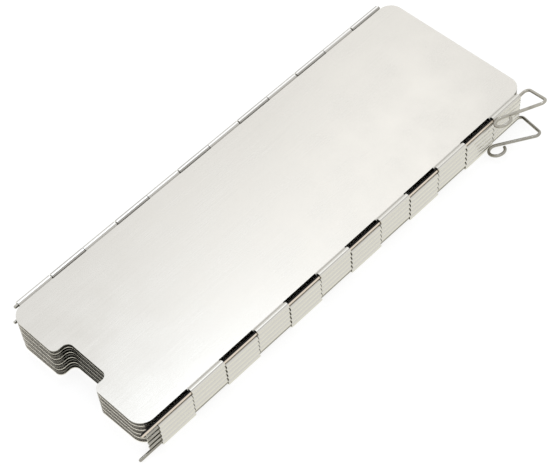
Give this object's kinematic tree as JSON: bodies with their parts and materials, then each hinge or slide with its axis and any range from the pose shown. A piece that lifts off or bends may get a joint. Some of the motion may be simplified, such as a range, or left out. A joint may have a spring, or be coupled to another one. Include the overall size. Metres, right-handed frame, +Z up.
{
  "type": "folding stove windscreen",
  "caption": "Folding camp stove windscreen: sheet metal plates hinged on wire pins and folded flat, with a notch for a gas hose and sliding wire ground stakes.",
  "frame": {"origin": "middle of the underside of the bottom plate of the folded stack", "axes": "+X along the plates towards the stake handles, +Y towards the edge without stakes, +Z up through the stack"},
  "size_m": [0.2457, 0.1041, 0.025],
  "materials": {
    "sheet": "satin",
    "pin_wire": "polished wire",
    "stake_wire": "polished wire"
  },
  "bodies": {
    "leaf_01": {"plate_01": "sheet"},
    "leaf_02": {"plate_02": "sheet", "hinge_pin_01": "pin_wire"},
    "leaf_03": {"plate_03": "sheet", "hinge_pin_02": "pin_wire"},
    "leaf_04": {"plate_04": "sheet", "hinge_pin_03": "pin_wire"},
    "leaf_05": {"plate_05": "sheet", "hinge_pin_04": "pin_wire"},
    "leaf_06": {"plate_06": "sheet", "hinge_pin_05": "pin_wire"},
    "leaf_07": {"plate_07": "sheet", "hinge_pin_06": "pin_wire"},
    "leaf_08": {"plate_08": "sheet", "hinge_pin_07": "pin_wire"},
    "leaf_09": {"plate_09": "sheet", "hinge_pin_08": "pin_wire"},
    "leaf_10": {"plate_10": "sheet", "hinge_pin_09": "pin_wire"},
    "stake_top": {"ground_stake_top": "stake_wire"},
    "stake_bottom": {"ground_stake_bottom": "stake_wire"}
  },
  "joints": [
    {"name": "fold_09", "type": "hinge", "parent": "leaf_10", "child": "leaf_09", "pos_m": [0, 0.04255, 0.00135], "axis": [-1, 0, 0], "range_deg": [0, 150]},
    {"name": "fold_08", "type": "hinge", "parent": "leaf_09", "child": "leaf_08", "pos_m": [0, -0.04345, 0.00294], "axis": [1, 0, 0], "range_deg": [0, 210]},
    {"name": "fold_07", "type": "hinge", "parent": "leaf_08", "child": "leaf_07", "pos_m": [0, 0.04234, 0.00589], "axis": [-1, 0, 0], "range_deg": [0, 150]},
    {"name": "fold_06", "type": "hinge", "parent": "leaf_07", "child": "leaf_06", "pos_m": [0, -0.04365, 0.00614], "axis": [1, 0, 0], "range_deg": [0, 210]},
    {"name": "fold_05", "type": "hinge", "parent": "leaf_06", "child": "leaf_05", "pos_m": [0, 0.04211, 0.01043], "axis": [-1, 0, 0], "range_deg": [0, 150]},
    {"name": "fold_04", "type": "hinge", "parent": "leaf_05", "child": "leaf_04", "pos_m": [0, -0.04385, 0.00933], "axis": [1, 0, 0], "range_deg": [0, 210]},
    {"name": "fold_03", "type": "hinge", "parent": "leaf_04", "child": "leaf_03", "pos_m": [0, 0.04185, 0.01497], "axis": [-1, 0, 0], "range_deg": [0, 150]},
    {"name": "fold_02", "type": "hinge", "parent": "leaf_03", "child": "leaf_02", "pos_m": [0, -0.04405, 0.01252], "axis": [1, 0, 0], "range_deg": [0, 210]},
    {"name": "fold_01", "type": "hinge", "parent": "leaf_02", "child": "leaf_01", "pos_m": [0, 0.04158, 0.01952], "axis": [-1, 0, 0], "range_deg": [0, 150]},
    {"name": "stake_top_slide", "type": "slide", "parent": "leaf_01", "child": "stake_top", "axis": [1, 0, 0], "range_m": [-0.0025, 0.2]},
    {"name": "stake_bottom_slide", "type": "slide", "parent": "leaf_10", "child": "stake_bottom", "axis": [1, 0, 0], "range_m": [-0.015, 0.2]}
  ],
  "couplings": [
    {"joint": "fold_08", "follows": "fold_09", "ratio": 1.4},
    {"joint": "fold_07", "follows": "fold_09", "ratio": 1},
    {"joint": "fold_06", "follows": "fold_09", "ratio": 1.4},
    {"joint": "fold_05", "follows": "fold_09", "ratio": 1},
    {"joint": "fold_04", "follows": "fold_09", "ratio": 1.4},
    {"joint": "fold_03", "follows": "fold_09", "ratio": 1},
    {"joint": "fold_02", "follows": "fold_09", "ratio": 1.4},
    {"joint": "fold_01", "follows": "fold_09", "ratio": 1}
  ]
}
